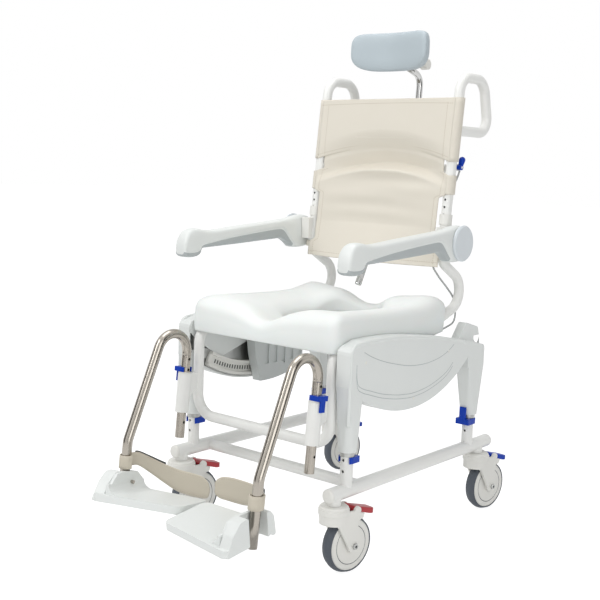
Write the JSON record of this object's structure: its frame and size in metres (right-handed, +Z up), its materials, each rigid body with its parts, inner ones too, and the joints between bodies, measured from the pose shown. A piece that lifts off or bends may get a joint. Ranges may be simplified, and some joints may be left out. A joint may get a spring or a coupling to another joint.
{
  "type": "shower commode chair",
  "caption": "Tilting shower commode chair on swivel castors with a holed soft seat, cloth back, headrest, flip-up armrests and swing-away footrests.",
  "frame": {"origin": "on the floor under the middle of the chair's outer box", "axes": "+X to the chair's side that is on the right in the picture, +Y to the rear, +Z up; the chair faces -Y"},
  "size_m": [0.5406, 1.0202, 1.2155],
  "materials": {
    "white_coated_tube": "smooth white powder coat",
    "white_moulded_plastic": "satin white moulding",
    "white_soft_foam": "soft closed foam with a smooth white skin",
    "pale_grey_plastic": "satin pale grey moulding",
    "grey_plastic": "satin grey moulding",
    "dark_plastic": "dark moulding",
    "red_plastic": "red moulding",
    "blue_plastic": "blue moulding",
    "grey_rubber_tyre": "grey rubber tread",
    "bare_steel": "plain steel",
    "stainless_tube": "brushed stainless tube",
    "cream_coated_cloth": "cream coated cloth",
    "blue_grey_foam": "soft foam with a pale blue-grey skin"
  },
  "bodies": {
    "base": {"base_frame": "white_coated_tube", "base_end_caps": "pale_grey_plastic"},
    "fork_fl": {"castor_fork_fl": "pale_grey_plastic"},
    "wheel_fl": {"castor_wheel_fl": "pale_grey_plastic", "castor_tyre_fl": "grey_rubber_tyre"},
    "pedal_fl": {"castor_pedal_fl": "red_plastic"},
    "fork_fr": {"castor_fork_fr": "pale_grey_plastic"},
    "wheel_fr": {"castor_wheel_fr": "pale_grey_plastic", "castor_tyre_fr": "grey_rubber_tyre"},
    "pedal_fr": {"castor_pedal_fr": "red_plastic"},
    "fork_rl": {"castor_fork_rl": "pale_grey_plastic"},
    "wheel_rl": {"castor_wheel_rl": "pale_grey_plastic", "castor_tyre_rl": "grey_rubber_tyre"},
    "pedal_rl": {"castor_pedal_rl": "blue_plastic"},
    "fork_rr": {"castor_fork_rr": "pale_grey_plastic"},
    "wheel_rr": {"castor_wheel_rr": "pale_grey_plastic", "castor_tyre_rr": "grey_rubber_tyre"},
    "pedal_rr": {"castor_pedal_rr": "blue_plastic"},
    "lift": {"side_frame_left": "bare_steel", "side_frame_right": "bare_steel", "side_cover_left": "white_moulded_plastic", "side_cover_right": "white_moulded_plastic", "tilt_track_left": "pale_grey_plastic", "tilt_track_right": "pale_grey_plastic"},
    "height_clips_front": {"height_clips_front": "blue_plastic"},
    "height_clips_rear": {"height_clips_rear": "blue_plastic"},
    "seat": {"seat_frame": "white_coated_tube", "push_handle_left": "white_coated_tube", "push_handle_right": "white_coated_tube", "footrest_sockets": "white_coated_tube", "back_cover_upper": "cream_coated_cloth", "back_cover_lower": "cream_coated_cloth", "seat_pad": "white_soft_foam", "tilt_carriage_left": "grey_plastic", "tilt_carriage_right": "grey_plastic", "tilt_cable": "dark_plastic", "armrest_brackets": "pale_grey_plastic", "headrest_clamp": "pale_grey_plastic"},
    "tilt_rollers_front": {"tilt_rollers_front": "dark_plastic"},
    "tilt_rollers_rear": {"tilt_rollers_rear": "dark_plastic"},
    "tilt_lever": {"tilt_lever": "blue_plastic"},
    "tilt_lock": {"tilt_lock": "bare_steel"},
    "arm_left": {"armrest_left": "white_moulded_plastic", "armrest_cap_left": "blue_grey_foam"},
    "arm_right": {"armrest_right": "white_moulded_plastic", "armrest_cap_right": "blue_grey_foam"},
    "head_post": {"headrest_post": "stainless_tube"},
    "head": {"headrest_shell": "grey_plastic", "headrest_pad": "blue_grey_foam"},
    "head_knob": {"headrest_knob": "dark_plastic"},
    "bush_left": {"hanger_bush_left": "pale_grey_plastic"},
    "hanger_left": {"hanger_left": "stainless_tube", "heel_strap_left": "cream_coated_cloth"},
    "hanger_clip_left": {"hanger_clip_left": "blue_plastic"},
    "plate_left": {"footplate_left": "white_moulded_plastic"},
    "bush_right": {"hanger_bush_right": "pale_grey_plastic"},
    "hanger_right": {"hanger_right": "stainless_tube", "heel_strap_right": "cream_coated_cloth"},
    "hanger_clip_right": {"hanger_clip_right": "blue_plastic"},
    "plate_right": {"footplate_right": "white_moulded_plastic"}
  },
  "joints": [
    {"name": "swivel_fl", "type": "hinge", "parent": "base", "child": "fork_fl", "pos_m": [-0.235, -0.19805, 0.15], "axis": [0, 0, 1], "continuous": true},
    {"name": "roll_fl", "type": "hinge", "parent": "fork_fl", "child": "wheel_fl", "pos_m": [-0.22843, -0.15657, 0.0635], "axis": [0.9877, -0.1564, 0], "continuous": true},
    {"name": "brake_fl", "type": "hinge", "parent": "fork_fl", "child": "pedal_fl", "pos_m": [-0.22718, -0.14867, 0.141], "axis": [-0.9877, 0.1564, 0], "range_deg": [0, 13]},
    {"name": "swivel_fr", "type": "hinge", "parent": "base", "child": "fork_fr", "pos_m": [0.235, -0.19805, 0.15], "axis": [0, 0, 1], "continuous": true},
    {"name": "roll_fr", "type": "hinge", "parent": "fork_fr", "child": "wheel_fr", "pos_m": [0.24157, -0.15657, 0.0635], "axis": [0.9877, -0.1564, 0], "continuous": true},
    {"name": "brake_fr", "type": "hinge", "parent": "fork_fr", "child": "pedal_fr", "pos_m": [0.24282, -0.14867, 0.141], "axis": [-0.9877, 0.1564, 0], "range_deg": [0, 13]},
    {"name": "swivel_rl", "type": "hinge", "parent": "base", "child": "fork_rl", "pos_m": [-0.235, 0.40195, 0.15], "axis": [0, 0, 1], "continuous": true},
    {"name": "roll_rl", "type": "hinge", "parent": "fork_rl", "child": "wheel_rl", "pos_m": [-0.22843, 0.44343, 0.0635], "axis": [0.9877, -0.1564, 0], "continuous": true},
    {"name": "brake_rl", "type": "hinge", "parent": "fork_rl", "child": "pedal_rl", "pos_m": [-0.22718, 0.45133, 0.141], "axis": [-0.9877, 0.1564, 0], "range_deg": [0, 13]},
    {"name": "swivel_rr", "type": "hinge", "parent": "base", "child": "fork_rr", "pos_m": [0.235, 0.40195, 0.15], "axis": [0, 0, 1], "continuous": true},
    {"name": "roll_rr", "type": "hinge", "parent": "fork_rr", "child": "wheel_rr", "pos_m": [0.24157, 0.44343, 0.0635], "axis": [0.9877, -0.1564, 0], "continuous": true},
    {"name": "brake_rr", "type": "hinge", "parent": "fork_rr", "child": "pedal_rr", "pos_m": [0.24282, 0.45133, 0.141], "axis": [-0.9877, 0.1564, 0], "range_deg": [0, 13]},
    {"name": "seat_height", "type": "slide", "parent": "base", "child": "lift", "axis": [0, 0, 1], "range_m": [-0.025, 0.075]},
    {"name": "front_height_clips", "type": "slide", "parent": "lift", "child": "height_clips_front", "axis": [0, 1, 0], "range_m": [0, 0.008]},
    {"name": "rear_height_clips", "type": "slide", "parent": "lift", "child": "height_clips_rear", "axis": [0, -1, 0], "range_m": [0, 0.008]},
    {"name": "seat_tilt", "type": "hinge", "parent": "lift", "child": "seat", "pos_m": [0, 0.04195, 0.72], "axis": [-1, 0, 0], "range_deg": [0, 25]},
    {"name": "tilt_roller_front", "type": "hinge", "parent": "seat", "child": "tilt_rollers_front", "pos_m": [0, 0.06084, 0.3595], "axis": [-1, 0, 0], "range_deg": [-880, 10]},
    {"name": "tilt_roller_rear", "type": "hinge", "parent": "seat", "child": "tilt_rollers_rear", "pos_m": [0, 0.16542, 0.38077], "axis": [-1, 0, 0], "range_deg": [-880, 10]},
    {"name": "tilt_lever", "type": "hinge", "parent": "seat", "child": "tilt_lever", "pos_m": [0.2135, 0.27909, 0.884], "axis": [-1, 0, 0], "range_deg": [0, 20], "stiffness_Nm_per_rad": 0.5, "springref_deg": -11.46},
    {"name": "tilt_lock_pin", "type": "slide", "parent": "seat", "child": "tilt_lock", "axis": [-1, 0, 0], "range_m": [0, 0.0062]},
    {"name": "arm_flip_left", "type": "hinge", "parent": "seat", "child": "arm_left", "pos_m": [-0.235, 0.22595, 0.705], "axis": [-1, 0, 0], "range_deg": [0, 95]},
    {"name": "arm_flip_right", "type": "hinge", "parent": "seat", "child": "arm_right", "pos_m": [0.235, 0.22595, 0.705], "axis": [-1, 0, 0], "range_deg": [0, 95]},
    {"name": "headrest_height", "type": "slide", "parent": "seat", "child": "head_post", "axis": [0, 0.4623, 0.8867], "range_m": [0, 0.1]},
    {"name": "headrest_angle", "type": "hinge", "parent": "head_post", "child": "head", "pos_m": [0, 0.33795, 1.14], "axis": [1, 0, 0], "range_deg": [-20, 20]},
    {"name": "headrest_knob_turn", "type": "hinge", "parent": "head_post", "child": "head_knob", "pos_m": [0.06, 0.33795, 1.14], "axis": [1, 0, 0], "continuous": true},
    {"name": "footrest_swing_left", "type": "hinge", "parent": "seat", "child": "bush_left", "pos_m": [-0.198, -0.22375, 0.43], "axis": [0, -0.0889, -0.996], "range_deg": [0, 90]},
    {"name": "footrest_height_left", "type": "slide", "parent": "bush_left", "child": "hanger_left", "axis": [0, 0.0889, 0.996], "range_m": [-0.025, 0.05]},
    {"name": "footrest_clip_left", "type": "slide", "parent": "seat", "child": "hanger_clip_left", "axis": [-1, 0, 0], "range_m": [0, 0.008]},
    {"name": "footplate_angle_left", "type": "hinge", "parent": "hanger_left", "child": "plate_left", "pos_m": [-0.198, -0.41053, 0.15953], "axis": [-0.9703, -0.2419, 0], "range_deg": [-15, 6]},
    {"name": "footrest_swing_right", "type": "hinge", "parent": "seat", "child": "bush_right", "pos_m": [0.198, -0.22375, 0.43], "axis": [0, 0.0889, 0.996], "range_deg": [0, 90]},
    {"name": "footrest_height_right", "type": "slide", "parent": "bush_right", "child": "hanger_right", "axis": [0, 0.0889, 0.996], "range_m": [-0.025, 0.05]},
    {"name": "footrest_clip_right", "type": "slide", "parent": "seat", "child": "hanger_clip_right", "axis": [1, 0, 0], "range_m": [0, 0.008]},
    {"name": "footplate_angle_right", "type": "hinge", "parent": "hanger_right", "child": "plate_right", "pos_m": [0.198, -0.41053, 0.15953], "axis": [-1, 0, 0], "range_deg": [-3, 18]}
  ],
  "couplings": [
    {"joint": "tilt_roller_front", "follows": "seat_tilt", "ratio": -34.738},
    {"joint": "tilt_roller_rear", "follows": "seat_tilt", "ratio": -34.738},
    {"joint": "tilt_lock_pin", "follows": "tilt_lever", "m_per_rad": 0.01719}
  ]
}
